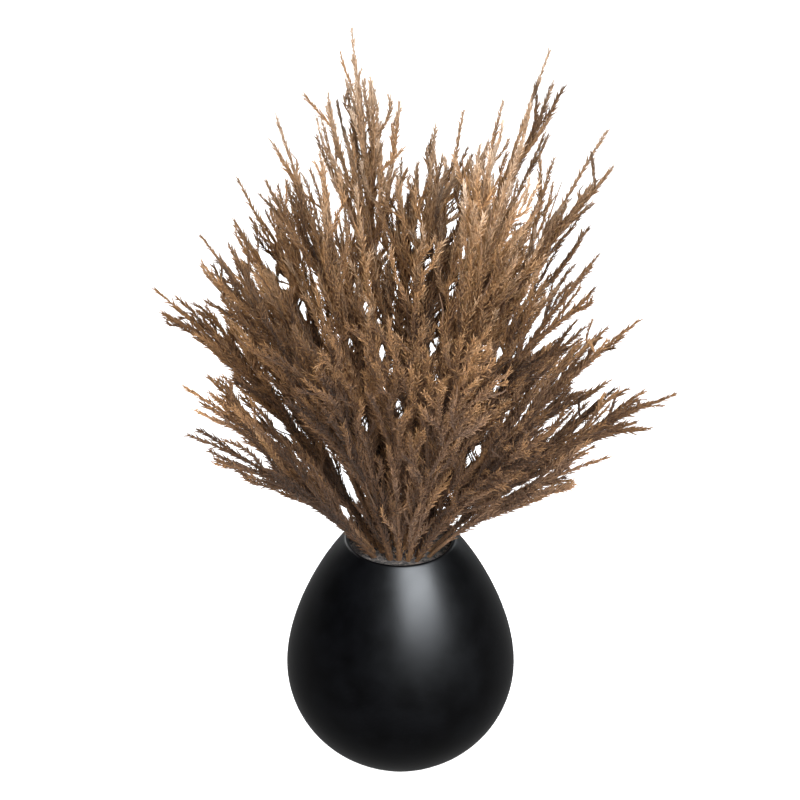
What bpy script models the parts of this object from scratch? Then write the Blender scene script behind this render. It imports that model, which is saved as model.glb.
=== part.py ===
"""Dried pampas grass in a round matte black pot.

A turned ceramic pot with an open mouth, a filler that fills its inside, and a bunch of
dried grass plumes. Each plume is one grown piece: a bare stem stuck into the filler, which
turns into a fluffy lock, with side locks that fork off at sharp angles.
Metres, +Z up, origin at the centre of the pot's base. +X is to the right of the front view.
"""
import bpy
import bmesh
import math
import random
from mathutils import Matrix, Vector

# Pot: radii and heights of its outside, and its wall
BASE_R = 0.0345
BASE_EDGE = 0.0012
BELLY_R = 0.0683
BELLY_Z = 0.0573
NECK_R = 0.033
NECK_Z = 0.1435
BELLY_PULL = 0.0294
NECK_PULL = 0.0237
NECK_SLOPE = math.radians(40.4)
WALL = 0.0034
FLOOR = 0.005
POT_SIDES = 40
LOWER_RINGS = 7
UPPER_RINGS = 7
INNER_RINGS = 5
LIP_STEPS = 4

# Filler: its level, the gap that it keeps to the pot, and the sockets for the stems
FILLER_TOP = 0.1350
FILLER_GAP = 0.0006
FILLER_SIDES = 20
SOCKET_DEPTH = 0.007
SOCKET_CLEAR = 0.0005

# Bunch: how the stems fan out of the mouth
ROOT_R = 0.0195
ROOT_SHARE = 0.6
MAX_LEAN = math.radians(70)
START_BEND = 0.62
FULL_REACH = 0.300

# Plumes: name, lean and heading of the tip in degrees, length in metres.
# The lean is from upright, and the heading is from +X, anticlockwise seen from above.
PLUMES = [
    ("centre", 4, 30, 0.267),
    ("tall_left", 10, 117, 0.312),
    ("upper_left", 13, 168, 0.278),
    ("inner_right", 13, -22, 0.282),
    ("tall_right", 17.7, 35, 0.306),
    ("back_middle", 22, 70, 0.256),
    ("left_shoulder", 27, 143, 0.233),
    ("left", 25, 190, 0.237),
    ("right_shoulder", 22.5, 12, 0.280),
    ("right", 27, -35, 0.249),
    ("front_left", 26, -122, 0.217),
    ("front", 22, -94, 0.215),
    ("front_right", 29, -68, 0.227),
    ("far_left", 41.5, 163, 0.201),
    ("low_left", 43, 184, 0.157),
    ("low_front_left", 46, -156, 0.156),
    ("back_left", 37.5, 110, 0.207),
    ("back_right", 42.5, 64, 0.210),
    ("upper_far_right", 44.5, 17, 0.183),
    ("far_right", 52.5, -1, 0.175),
    ("low_right", 50, -21, 0.138),
    ("back_far_right", 43.5, 40, 0.200),
    ("back_far_left", 43.5, 136, 0.192),
    ("low_front_right", 39.5, -50, 0.177),
]

# Stem: the reach where it is bare and where it is fluffy, then shares of its length with radii
STEM_R = 0.0014
TIP_R = 0.0004
BARE_REACH = 0.035
FLUFFY_REACH = 0.066
FLUFFY_R = 0.0033
STEM_THINS = [(0.55, FLUFFY_R), (0.80, 0.0025), (1.0, TIP_R)]
STEM_SIDES = 5

# Side locks: shares of a lock's length with radii, where they fork off, and how they spread
LOCK_SHAPE = [(0.0, 0.0010), (0.5, 0.0028), (1.0, TIP_R)]
LOCK_SIDES = 4
SIDE_LOCKS = 7
FIRST_FORK = 0.30
LAST_FORK = 0.72
LONG_LOCK = 0.47
SHORT_LOCK = 0.22
CELL_SHARE = 0.82
SPREAD_MOST = 0.027
HIGH_NARROWS = 0.4
UNDER_TURN = 0.7
GOLDEN_ANGLE = math.radians(137.5)
SEED = 2

# Limits of the meshes: the angle below which an edge is smooth, and the distance that merges
SMOOTH_BELOW = math.radians(40)
MERGE_WITHIN = 0.00001


def clear_scene():
    """Removes what the scene holds."""
    for thing in list(bpy.data.objects):
        bpy.data.objects.remove(thing, do_unlink=True)


def material(name, colour, roughness, metallic=0.0):
    """A plain Principled material."""
    made = bpy.data.materials.new(name)
    made.use_nodes = True
    shader = made.node_tree.nodes["Principled BSDF"]
    shader.inputs["Base Color"].default_value = (*colour, 1.0)
    shader.inputs["Roughness"].default_value = roughness
    shader.inputs["Metallic"].default_value = metallic
    return made


def add_object(name, shape, finish, collection=None):
    """Makes an object of a bmesh, with its faces turned outwards."""
    bmesh.ops.recalc_face_normals(shape, faces=shape.faces)
    mesh = bpy.data.meshes.new(name)
    shape.to_mesh(mesh)
    shape.free()
    mesh.shade_smooth()
    mesh.set_sharp_from_angle(angle=SMOOTH_BELOW)
    mesh.materials.append(finish)
    thing = bpy.data.objects.new(name, mesh)
    (collection or bpy.context.scene.collection).objects.link(thing)
    return thing


def as_cutter(thing):
    """Marks an object as a construction aid, not a part."""
    thing.hide_render = True
    thing.display_type = "WIRE"


def cubic(start, pull_a, pull_b, end, share):
    """A point on a Bezier curve with two handles."""
    rest = 1 - share
    return (start * rest ** 3 + pull_a * 3 * rest ** 2 * share
            + pull_b * 3 * rest * share ** 2 + end * share ** 3)


def pot_outside(rings_low, rings_high):
    """Outer radius and height, from the neck down to the base, as (radius, height)."""
    neck, belly = Vector((NECK_R, NECK_Z)), Vector((BELLY_R, BELLY_Z))
    neck_handle = neck + NECK_PULL * Vector((math.sin(NECK_SLOPE), -math.cos(NECK_SLOPE)))
    belly_handle = belly + Vector((0, BELLY_PULL))
    points = [cubic(neck, neck_handle, belly_handle, belly, i / rings_high)
              for i in range(rings_high)]
    fullness = 1 - ((BASE_R + BASE_EDGE) / BELLY_R) ** 2
    for i in range(rings_low + 1):
        drop = i / rings_low
        height = BELLY_Z + (BASE_EDGE - BELLY_Z) * drop
        points.append(Vector((BELLY_R * math.sqrt(1 - fullness * drop ** 2), height)))
    return points


def inset(points, depth):
    """The same outline moved inwards by a wall's thickness, square to its direction."""
    moved = []
    for i, point in enumerate(points):
        before, after = points[max(i - 1, 0)], points[min(i + 1, len(points) - 1)]
        run = (after - before).normalized()
        moved.append(point + depth * Vector((run.y, -run.x)))
    return moved


def turned(outline, sides):
    """Spins a profile of (radius, height) points about Z into a closed body."""
    shape = bmesh.new()
    profile = [shape.verts.new((radius, 0, height)) for radius, height in outline]
    edges = [shape.edges.new(pair) for pair in zip(profile, profile[1:])]
    bmesh.ops.spin(shape, geom=profile + edges, cent=(0, 0, 0), axis=(0, 0, 1),
                   angle=math.tau, steps=sides, use_merge=True)
    bmesh.ops.remove_doubles(shape, verts=shape.verts, dist=MERGE_WITHIN)
    return shape


def make_pot(finish):
    """The pot: a turned wall with a rounded lip, a flat base and an open inside."""
    outer = pot_outside(LOWER_RINGS, UPPER_RINGS)
    inside = inset(pot_outside(INNER_RINGS, INNER_RINGS), WALL)
    inner = [p for p in inside if p.y > FLOOR + WALL]
    lip_middle = (outer[0] + inner[0]) / 2
    lip_start = outer[0] - lip_middle
    lip = [lip_middle + Matrix.Rotation(math.pi * i / LIP_STEPS, 2) @ lip_start
           for i in range(1, LIP_STEPS)]
    base = [Vector((BASE_R, 0)), Vector((0, 0))]
    well = [Vector((inner[-1].x - WALL / 2, FLOOR)), Vector((0, FLOOR))]
    outline = list(reversed(well)) + list(reversed(inner)) + list(reversed(lip)) + outer + base
    return add_object("pot", turned(outline, POT_SIDES), finish)


def filler_outline():
    """The filler's profile: the pot's inside less a gap, up to its level."""
    wall = inset(pot_outside(INNER_RINGS, INNER_RINGS), WALL + FILLER_GAP)
    low = FLOOR + FILLER_GAP
    side = [p for p in wall if low + WALL < p.y < FILLER_TOP - WALL]
    above = [p for p in wall if p.y >= FILLER_TOP - WALL][-1]
    share = (FILLER_TOP - side[0].y) / (above.y - side[0].y)
    top_edge = side[0].lerp(above, share)
    foot = Vector((side[-1].x - 2 * WALL, low))
    return [Vector((0, FILLER_TOP)), top_edge] + side + [foot, Vector((0, low))]


def lean_vector(lean, heading, reach):
    """How far a line leans in the end, as a flat vector, if its point at that reach does."""
    final = lean / (START_BEND + (1 - START_BEND) * reach / FULL_REACH)
    return Vector((final * math.cos(heading), final * math.sin(heading)))


def direction(lean):
    """The unit direction that leans by the length of a flat vector, towards that vector."""
    amount = lean.length
    flat = lean.normalized() * math.sin(amount) if amount > 0 else Vector((0, 0))
    return Vector((flat.x, flat.y, math.cos(amount)))


def root_of(lean):
    """Where a line with this final lean leaves the filler."""
    out = ROOT_R * (lean.length / MAX_LEAN) ** ROOT_SHARE
    flat = lean.normalized() * out if lean.length > 0 else Vector((0, 0))
    return Vector((flat.x, flat.y, FILLER_TOP))


def fan_point(lean, reach):
    """A point of the fan. Lines with different leans never cross, so plumes stay apart."""
    bend = START_BEND + (1 - START_BEND) * reach / FULL_REACH
    return root_of(lean) + reach * direction(lean * bend)


def tube(points, radii, sides, turn):
    """A closed tapering body along a line of points."""
    shape = bmesh.new()
    rings = []
    side = Vector((math.cos(turn), math.sin(turn), 0.0))
    for i, (point, radius) in enumerate(zip(points, radii)):
        run = (points[min(i + 1, len(points) - 1)] - points[max(i - 1, 0)]).normalized()
        side = (side - run * side.dot(run)).normalized()
        other = run.cross(side)
        angles = [math.tau * k / sides for k in range(sides)]
        rings.append([shape.verts.new(point + radius * (math.cos(a) * side + math.sin(a) * other))
                      for a in angles])
    for ring, following in zip(rings, rings[1:]):
        for k in range(sides):
            after = (k + 1) % sides
            shape.faces.new((ring[k], ring[after], following[after], following[k]))
    shape.faces.new(reversed(rings[0]))
    shape.faces.new(rings[-1])
    return shape


def cell_reach(own, others, aim, most):
    """How far a side lock may lean away before it comes near the next plume's space."""
    reach = most
    for other in others:
        gap = other - own
        towards = gap.dot(aim)
        if towards > 0:
            reach = min(reach, CELL_SHARE * gap.length_squared / (2 * towards))
    return reach


def stem_points(lean, length):
    """The stem's middle line, from the bottom of its socket to its tip, and its radii."""
    down = direction(lean * START_BEND)
    root = root_of(lean)
    points = [root - down * SOCKET_DEPTH, root]
    radii = [STEM_R, STEM_R]
    thins = [(length * share, radius) for share, radius in STEM_THINS]
    for reach, radius in [(BARE_REACH, STEM_R), (FLUFFY_REACH, FLUFFY_R)] + thins:
        points.append(fan_point(lean, reach))
        radii.append(radius)
    return points, radii


def make_plume(name, lean, length, others, finish, chance):
    """One plume: its stem and the side locks grown out of it, joined in one body."""
    stem = add_object("plume_" + name, tube(*stem_points(lean, length), STEM_SIDES, 0.0), finish)
    locks = bpy.data.collections.new(name + "_locks")
    bpy.context.scene.collection.children.link(locks)
    first_heading = chance.uniform(0, math.tau)
    for i in range(SIDE_LOCKS):
        rise = i / (SIDE_LOCKS - 1)
        heading = first_heading + i * GOLDEN_ANGLE
        aim = Vector((math.cos(heading), math.sin(heading)))
        fork = length * (FIRST_FORK + (LAST_FORK - FIRST_FORK) * rise)
        end = fork + length * (LONG_LOCK + (SHORT_LOCK - LONG_LOCK) * rise)
        spread = cell_reach(lean, others, aim, SPREAD_MOST / end) * (1 - HIGH_NARROWS * rise)
        under = max(0, aim.dot(lean)) / MAX_LEAN
        aside = aim * spread * (1 - UNDER_TURN * under)
        line = [fan_point(lean + aside * math.sin(math.pi / 2 * share), fork + (end - fork) * share)
                for share, _ in LOCK_SHAPE]
        radii = [radius for _, radius in LOCK_SHAPE]
        lock = add_object(f"{name}_lock_{i}", tube(line, radii, LOCK_SIDES, heading), finish, locks)
        as_cutter(lock)
    union = stem.modifiers.new("grown together", "BOOLEAN")
    union.operation = "UNION"
    union.operand_type = "COLLECTION"
    union.collection = locks
    union.solver = "EXACT"
    return stem


def make_filler(leans, finish):
    """The filler with a blind socket for each stem."""
    filler = add_object("filler", turned(filler_outline(), FILLER_SIDES), finish)
    sockets = bpy.data.collections.new("sockets")
    bpy.context.scene.collection.children.link(sockets)
    radius = STEM_R + SOCKET_CLEAR
    for i, lean in enumerate(leans):
        down = direction(lean * START_BEND)
        root = root_of(lean)
        line = [root - down * (SOCKET_DEPTH + SOCKET_CLEAR), root + down * SOCKET_DEPTH / 2]
        socket = add_object(f"socket_{i}", tube(line, [radius, radius], STEM_SIDES, 0.0), finish, sockets)
        as_cutter(socket)
    cut = filler.modifiers.new("sockets", "BOOLEAN")
    cut.operation = "DIFFERENCE"
    cut.operand_type = "COLLECTION"
    cut.collection = sockets
    cut.solver = "EXACT"
    return filler


def main():
    clear_scene()
    glaze = material("Matte black glaze", (0.012, 0.013, 0.016), 0.42)
    grit = material("Grey brown filler", (0.085, 0.065, 0.048), 0.95)
    grass = material("Dried grass", (0.27, 0.17, 0.10), 0.85)
    chance = random.Random(SEED)
    leans = [lean_vector(math.radians(lean), math.radians(heading), length)
             for _, lean, heading, length in PLUMES]
    make_pot(glaze)
    make_filler(leans, grit)
    for (name, _, _, length), lean in zip(PLUMES, leans):
        others = [other for other in leans if other is not lean]
        make_plume(name, lean, length, others, grass, chance)


main()
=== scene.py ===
"""Dried pampas grass in a round matte black pot: its looks.

Metres, +Z up, origin at the centre of the pot's base, -Y towards the viewer.
The bunch is grown along the same fan of lines as its solids: a stem with side locks, and
twigs on both, all dressed with short pointed spikelets.
"""

import bpy
import math
import random
from mathutils import Matrix, Vector


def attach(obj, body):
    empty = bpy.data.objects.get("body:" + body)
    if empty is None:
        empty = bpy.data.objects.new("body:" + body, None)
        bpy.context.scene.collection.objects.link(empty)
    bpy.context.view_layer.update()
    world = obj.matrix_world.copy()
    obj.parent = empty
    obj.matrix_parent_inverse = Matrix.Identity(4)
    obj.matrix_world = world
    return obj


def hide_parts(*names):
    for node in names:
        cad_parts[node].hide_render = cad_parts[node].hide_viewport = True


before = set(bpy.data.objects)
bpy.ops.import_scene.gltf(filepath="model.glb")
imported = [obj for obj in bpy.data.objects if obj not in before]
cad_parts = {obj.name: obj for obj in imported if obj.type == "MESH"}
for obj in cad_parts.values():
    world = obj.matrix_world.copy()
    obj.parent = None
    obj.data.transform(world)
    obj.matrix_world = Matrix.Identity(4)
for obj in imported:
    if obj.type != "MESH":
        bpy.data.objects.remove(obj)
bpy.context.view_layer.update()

# Pot: the solids' sizes, and how finely its outline is drawn
BASE_R = 0.0345
BASE_EDGE = 0.0012
BELLY_R = 0.0683
BELLY_Z = 0.0573
NECK_R = 0.033
NECK_Z = 0.1435
BELLY_PULL = 0.0294
NECK_PULL = 0.0237
NECK_SLOPE = math.radians(40.4)
WALL = 0.0034
FLOOR = 0.005
POT_RINGS = 36
INNER_RINGS = 16
LIP_STEPS = 12
FOOT_STEPS = 5
BASE_RINGS = (0.7, 0.35, 0)
WELL_RINGS = (0, 0.5, 1)
POT_SIDES = 128
MERGE_GAP = 0.00001

# Filler: its level, its gap to the pot, and its grains: number, radius, and how much they vary
FILLER_TOP = 0.1350
FILLER_GAP = 0.0006
FILLER_SIDES = 48
FILLER_TOP_RINGS = 8
HEAP = 0.0012
GRAINS = 1000
GRAIN_R = 0.0011
GRAIN_LEAST = (0.5, 0.5, 0.4)
GRAIN_MOST = (1.4, 1.4, 1.1)
GRAIN_SEED = 3
UPWARD = 0.7

# Bunch: the solids' fan of lines, and its plumes: name, lean and heading in degrees, length
ROOT_R = 0.0195
ROOT_SHARE = 0.6
MAX_LEAN = math.radians(70)
START_BEND = 0.62
FULL_REACH = 0.300
PLUMES = [
    ("centre", 4, 30, 0.267),
    ("tall_left", 10, 117, 0.312),
    ("upper_left", 13, 168, 0.278),
    ("inner_right", 13, -22, 0.282),
    ("tall_right", 17.7, 35, 0.306),
    ("back_middle", 22, 70, 0.256),
    ("left_shoulder", 27, 143, 0.233),
    ("left", 25, 190, 0.237),
    ("right_shoulder", 22.5, 12, 0.280),
    ("right", 27, -35, 0.249),
    ("front_left", 26, -122, 0.217),
    ("front", 22, -94, 0.215),
    ("front_right", 29, -68, 0.227),
    ("far_left", 41.5, 163, 0.201),
    ("low_left", 43, 184, 0.157),
    ("low_front_left", 46, -156, 0.156),
    ("back_left", 37.5, 110, 0.207),
    ("back_right", 42.5, 64, 0.210),
    ("upper_far_right", 44.5, 17, 0.183),
    ("far_right", 52.5, -1, 0.175),
    ("low_right", 50, -21, 0.138),
    ("back_far_right", 43.5, 40, 0.200),
    ("back_far_left", 43.5, 136, 0.192),
    ("low_front_right", 39.5, -50, 0.177),
]

# How each plume grows between its solid's lines: its seed, and how many twigs it has
GROWTH = {
    "centre": (63, 1.15),
    "tall_left": (53, 1.15),
    "upper_left": (271, 0.9),
    "inner_right": (78, 1.3),
    "tall_right": (11, 0.55),
    "back_middle": (86, 1.1),
    "left_shoulder": (391, 1.0),
    "left": (375, 0.9),
    "right_shoulder": (44, 0.7),
    "right": (162, 1.1),
    "front_left": (190, 1.1),
    "front": (386, 0.9),
    "front_right": (168, 1.1),
    "far_left": (159, 1.15),
    "low_left": (289, 0.7),
    "low_front_left": (281, 0.6),
    "back_left": (130, 1.15),
    "back_right": (282, 1.0),
    "upper_far_right": (83, 1.1),
    "far_right": (192, 1.0),
    "low_right": (352, 0.6),
    "back_far_right": (367, 1.1),
    "back_far_left": (379, 1.0),
    "low_front_right": (99, 1.3),
}

# The viewer: height of the look, the point looked at, its distance, and the camera's lens
VIEW_RISE = math.radians(29)
VIEW_AIM = Vector((-0.0003, 0, 0.2363))
VIEW_DISTANCE = 1.7
LENS = 133.5
SENSOR = 36.0
SIGHT_END = 50.0

# Openings that the tails end at, on the viewer's plane through that point: how far right and
# up, half length, half width, and turn in degrees
GAPS = [
    (-0.0928, -0.0287, 0.0203, 0.0069, 151),
    (0.0814, 0.0361, 0.0198, 0.0060, 34),
    (-0.0252, -0.0521, 0.0088, 0.0046, 128),
    (0.1146, 0.0166, 0.0181, 0.0066, 33),
    (0.1089, -0.0372, 0.0123, 0.0066, 20),
    (-0.1129, 0.0252, 0.0215, 0.0040, 144),
]

# Narrow slits that the tails bend around, given in the same way. The tails out to that many
# half widths give way.
SLITS = [
    (-0.0659, 0.0652, 0.0099, 0.0036, 115),
    (-0.0556, 0.0524, 0.0109, 0.0029, 110),
    (-0.0198, 0.0534, 0.0104, 0.0027, 108),
    (-0.0120, 0.0468, 0.0099, 0.0026, 93),
    (-0.0096, 0.0248, 0.0145, 0.0030, 95),
    (-0.0048, 0.0155, 0.0132, 0.0025, 88),
    (-0.0275, 0.0304, 0.0109, 0.0026, 112),
    (-0.0086, 0.0028, 0.0104, 0.0028, 98),
    (-0.0004, -0.0060, 0.0099, 0.0033, 95),
    (-0.0202, -0.0136, 0.0096, 0.0032, 105),
    (0.0211, 0.0504, 0.0138, 0.0028, 94),
    (0.0185, 0.0314, 0.0102, 0.0032, 82),
    (0.0470, 0.0273, 0.0096, 0.0028, 70),
    (0.0574, 0.0278, 0.0086, 0.0030, 62),
    (0.0415, -0.0315, 0.0124, 0.0033, 60),
    (0.0559, 0.0084, 0.0099, 0.0026, 65),
    (-0.0690, -0.0141, 0.0109, 0.0029, 140),
    (0.0267, -0.0591, 0.0099, 0.0029, 62),
    (-0.0315, -0.0642, 0.0089, 0.0028, 118),
    (0.0298, 0.1060, 0.0201, 0.0039, 88),
    (0.0082, 0.0901, 0.0120, 0.0034, 65),
    (-0.0109, 0.0842, 0.0100, 0.0028, 95),
    (0.0666, 0.1004, 0.0149, 0.0028, 62),
    (0.0292, 0.0638, 0.0097, 0.0029, 90),
    (-0.0737, 0.0785, 0.0103, 0.0032, 122),
    (-0.0350, 0.1106, 0.0109, 0.0026, 110),
    (0.0155, 0.0774, 0.0109, 0.0026, 84),
]
SLIT_REACH = 2.6

# Side locks of the solids
SIDE_LOCKS = 7
FIRST_FORK = 0.30
LAST_FORK = 0.72
LONG_LOCK = 0.47
SHORT_LOCK = 0.22
CELL_SHARE = 0.82
SPREAD_MOST = 0.027
HIGH_NARROWS = 0.4
UNDER_TURN = 0.7
GOLDEN_ANGLE = math.radians(137.5)
SOLIDS_SEED = 2

# Thin locks between the solids' ones: how many, which of them grow high up, and how they vary
THIN_LOCKS = 7
HIGH_LOCKS = (8, 11)
THIN_RISE = (-0.4, 0.55)
HIGH_RISE = (0.7, 1.05)
THIN_WIDTH = (0.5, 1.45)
THIN_LENGTH = (0.8, 1.0)

# Low shoots that start near the mouth
LOW_SHOOTS = 6
LOW_START = (0.002, 0.030)
LOW_LENGTH = (0.040, 0.110)
LOW_WIDTH = (0.5, 1.4)
LOW_ASIDE = 0.0105

# Twigs: their spacing and lengths, how far they spread, and where the first and last start
TWIG_GAP = 0.0200
TWIG_LONG = 0.058
TWIG_SHORT = 0.024
TWIG_LENGTH = (0.7, 1.3)
TWIG_WIDTH = (0.5, 1.5)
TWIG_ASIDE = 0.0135
TWIG_NARROWS = 0.9
TWIG_PLACE = (0.1, 0.9)
TWIG_TURN = (-0.6, 0.6)
HANGS_LESS = 0.8
FIRST_TWIG = 0.024
LAST_TWIG = 0.80
END_GAP = 0.006
END_VARIES = (-1, 2)
STEM_TWIGS_END = 0.97
LOCK_FOOT = 0.006
LOCK_TWIGS = 0.8
SHOOT_FOOT = 0.008
SHOOT_TWIGS = 0.6
WANDER = 0.0035
CURL = 0.0045

# Core lines: the step between their points, their radii, and how they thin out
STEP = 0.006
FEWEST_STEPS = 3
STEM_R = 0.0014
STEM_WIDTH = (0.8, 1.4)
STEM_TAPER = 1.1
STEM_SUNK = 0.005
LOCK_R = 0.0009
TWIG_R = 0.00065
NEEDLE_R = 0.0007
TIP_R = 0.00035
TAPER = 1.5
TIP_POINTS = 3

# How much of a lock or twig has to be left in front of an opening, and the room in the mouth
LEAST_LOCK = 0.3
LEAST_TWIG = 0.4
MOUTH_CLEAR_R = 0.0268
MOUTH_CLEAR_Z = 0.1475

# Spikelets: their spacing, shape and tilt
SPIKELET_GAP = 0.00068
SPIKELET_LONG = 0.0046
SPIKELET_R = 0.00042
SPIKELET_TILT = math.radians(20)
SPIKELET_TURN = 0.5
TILT_VARIES = (0.3, 1.7)
SIZE_VARIES = (0.7, 1.35)
ON_CORE = 0.8
SMALLEST = 0.12
STEM_SIDES = 8
TWIG_SIDES = 3

# Where along a line the spikelets begin, grow smaller, or end on a bare twig
FLUFF_BEGINS = 0.10
FLUFF_FADES = 0.85
FADE = 0.25
STEM_FLUFF = 1.2
STEM_FADES = 0.9
STEM_FADE = 0.2
LOCK_FLUFF = 1.2
SHOOT_FLUFF = 1.15
TWIG_FLUFF = (0.95, 1.3)
BARE_SHARE = 0.09
BARE_FROM = 0.35
BARE_TO = 0.6
RIGHT_FOOT = (0.004, 0.022)
OTHER_FOOT = (-0.04, -0.015)
FOOT_EASE = 0.02

# Ripeness with painted light, from 0 for grey brown to 1 for beige: low down, what height, front and
# tips add.
# What height and tips add is partly painted light.
GOLD_LOW = 0.15
# Partly painted light: the bunch is made lighter and more golden higher up, where light falls from
# above.
GOLD_HIGH = 0.52
GOLD_HEIGHTS = (0.15, 0.46)
GOLD_FRONT = -0.14
FRONT_DEPTH = 0.10
# Painted glow: the tips of each line are made lighter, as if backlit through.
PAINTED_TIP_GLOW = 0.20
STEM_FOOT_GOLD = 0.34
STEM_ROOT_GOLD = 0.30
STEM_FOOT = 0.05
SHOOT_GOLD = -0.05
TWIG_GOLD = (-0.12, 0.16)
BARE_GREYS = 0.7
BARE_GREY_TO = 0.75
SPIKELET_GOLD = (-0.04, 0.06)
# Painted glow: each spikelet's point is made lighter, as if lit through.
PAINTED_POINT_GLOW = 0.10

# Tone, from 0 for dark to 1 for light: of a plume, and how much its parts vary from it
PLUME_TONE = (0.16, 0.84)
LOCK_TONE = 0.36
SHOOT_TONE = (-0.3, 0.2)
TWIG_TONE = 0.28
SPIKELET_TONE = 0.08

# The marks on the core lines' points, and the shade map's margin and spread
MARKS = ("core", "fluff", "tone", "gold", "stem")
SEED_STEP = 40
MAP_MARGIN = 0.05
MAP_WIDTH = 0.9
MAP_SPREAD = 0.006

# Studio floor: its half width, and how bright it is by itself and in reflections
FLOOR_SIZE = 8.0
FLOOR_GLOW = 1.15
FLOOR_SHEEN = 0.30

# Surround: how bright it is as light and to the camera
SURROUND_LIGHT = 0.025
SURROUND_SEEN = 1.03

# Soft lights: name, aim, azimuth, elevation, distance, width, height, power, colour, and the
# rays that they don't take part in
WHITE = (1, 1, 1)
BUNCH = (0, 0, 0.2)
MOUTH = (0, 0, 0.12)
LIGHTS = [
    ("overhead", (0, 0, 0.1), 0, 89, 1.9, 1.8, 1.8, 36, WHITE, "glossy"),
    ("front right", (0, 0, 0.1), 22, 36, 1.5, 0.55, 1.2, 34, (0.97, 0.98, 1.0), "glossy"),
    ("front left", BUNCH, -48, 36, 2.0, 1.2, 1.2, 35, WHITE, "glossy"),
    ("rim left", BUNCH, -145, 26, 1.6, 0.4, 1.2, 20, WHITE, None),
    ("rim right", BUNCH, 140, 25, 1.6, 0.4, 1.2, 11, (0.9, 0.95, 1.0), None),
    ("shine on the pot", MOUTH, 29, 40, 1.5, 1.15, 1.0, 330, (0.90, 0.95, 1.0), "diffuse"),
    ("backdrop in the glaze", MOUTH, 180, 14, 2.5, 5.0, 1.4, 26, (0.94, 0.97, 1.0), "diffuse"),
]


def cubic(start, pull_a, pull_b, end, share):
    """A point on a Bezier curve with two handles."""
    rest = 1 - share
    return (start * rest ** 3 + pull_a * 3 * rest ** 2 * share
            + pull_b * 3 * rest * share ** 2 + end * share ** 3)


def add_node(tree, kind, settings=None, inputs=None):
    """Adds a node, sets its options, and fills or links its inputs."""
    made = tree.nodes.new(kind)
    for option, value in (settings or {}).items():
        setattr(made, option, value)
    for name, value in (inputs or {}).items():
        socket = made.inputs[name] if isinstance(name, int) else shown(made.inputs, name)
        if isinstance(value, bpy.types.NodeSocket):
            tree.links.new(value, socket)
        else:
            socket.default_value = value
    return made


def shown(sockets, name):
    """The socket of that name that the node's options leave in use."""
    return next(s for s in sockets if s.name == name and s.enabled)


def calc(tree, operation, *values):
    """The result of a Math node."""
    made = add_node(tree, "ShaderNodeMath", {"operation": operation}, dict(enumerate(values)))
    return made.outputs[0]


def above(tree, value, least):
    """Whether a value is above a least one."""
    made = add_node(tree, "FunctionNodeCompare",
                    {"data_type": "FLOAT", "operation": "GREATER_THAN"}, {"A": value, "B": least})
    return made.outputs["Result"]


def geometry_tree(name, inputs):
    """A Geometry Nodes tree with named inputs, given as name: socket type."""
    tree = bpy.data.node_groups.new(name, "GeometryNodeTree")
    tree.interface.new_socket("Geometry", in_out="INPUT", socket_type="NodeSocketGeometry")
    tree.interface.new_socket("Geometry", in_out="OUTPUT", socket_type="NodeSocketGeometry")
    for label, kind in inputs.items():
        tree.interface.new_socket(label, in_out="INPUT", socket_type=kind)
    return tree, tree.nodes.new("NodeGroupInput"), tree.nodes.new("NodeGroupOutput")


def end_tree(tree, given, result, geometry):
    """Ends a tree in Realize Instances and Set Material."""
    real = add_node(tree, "GeometryNodeRealizeInstances", inputs={"Geometry": geometry})
    finished = add_node(tree, "GeometryNodeSetMaterial", inputs={
        "Geometry": real.outputs["Geometry"], "Material": given.outputs["Finish"]})
    tree.links.new(finished.outputs["Geometry"], result.inputs["Geometry"])
    return tree


def grown(name, start, tree, values):
    """Runs a tree on a mesh and returns the result as an object with a plain mesh."""
    piece = bpy.data.objects.new(name, start)
    bpy.context.scene.collection.objects.link(piece)
    maker = piece.modifiers.new(tree.name, "NODES")
    maker.node_group = tree
    for socket in tree.interface.items_tree:
        if socket.item_type == "SOCKET" and socket.name in values:
            maker[socket.identifier] = values[socket.name]
    graph = bpy.context.evaluated_depsgraph_get()
    plain = bpy.data.meshes.new_from_object(piece.evaluated_get(graph),
                                            preserve_all_data_layers=True, depsgraph=graph)
    piece.modifiers.clear()
    piece.data = plain
    plain.name = name
    for i, finish in reversed(list(enumerate(plain.materials))):
        if finish is None:  # an empty slot of the tree's own shapes, which no face uses
            plain.materials.pop(index=i)
    bpy.data.meshes.remove(start)
    return piece


def polyline_mesh(name, lines, marks=()):
    """A mesh of open chains. Each point is (place, *values), one value for each mark."""
    points = [point for line in lines for point in line]
    edges, start = [], 0
    for line in lines:
        edges += [(start + i, start + i + 1) for i in range(len(line) - 1)]
        start += len(line)
    mesh = bpy.data.meshes.new(name)
    mesh.from_pydata([point[0] for point in points], edges, [])
    for i, mark in enumerate(marks):
        layer = mesh.attributes.new(mark, "FLOAT", "POINT")
        layer.data.foreach_set("value", [point[i + 1] for point in points])
    return mesh


# Materials

def new_material(name, base, roughness, specular=0.5):
    """A Principled material with its plain values set."""
    made = bpy.data.materials.new(name)
    made.use_nodes = True
    tree = made.node_tree
    shader = tree.nodes["Principled BSDF"]
    shader.inputs["Base Color"].default_value = (*base, 1.0)
    shader.inputs["Roughness"].default_value = roughness
    shader.inputs["Specular IOR Level"].default_value = specular
    return made, tree, shader


def ramp(tree, factor, stops):
    """A colour ramp of (place, colour) stops."""
    made = add_node(tree, "ShaderNodeValToRGB", inputs={"Fac": factor})
    elements = made.color_ramp.elements
    while len(elements) < len(stops):
        elements.new(0.5)
    for element, (place, colour) in zip(elements, stops):
        element.position = place
        element.color = (*colour, 1.0)
    return made.outputs["Color"]


def noise(tree, scale, detail=2.0):
    """Noise over Object coordinates."""
    coords = add_node(tree, "ShaderNodeTexCoord")
    made = add_node(tree, "ShaderNodeTexNoise", inputs={
        "Vector": coords.outputs["Object"], "Scale": scale, "Detail": detail})
    return made.outputs["Fac"]


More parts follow.
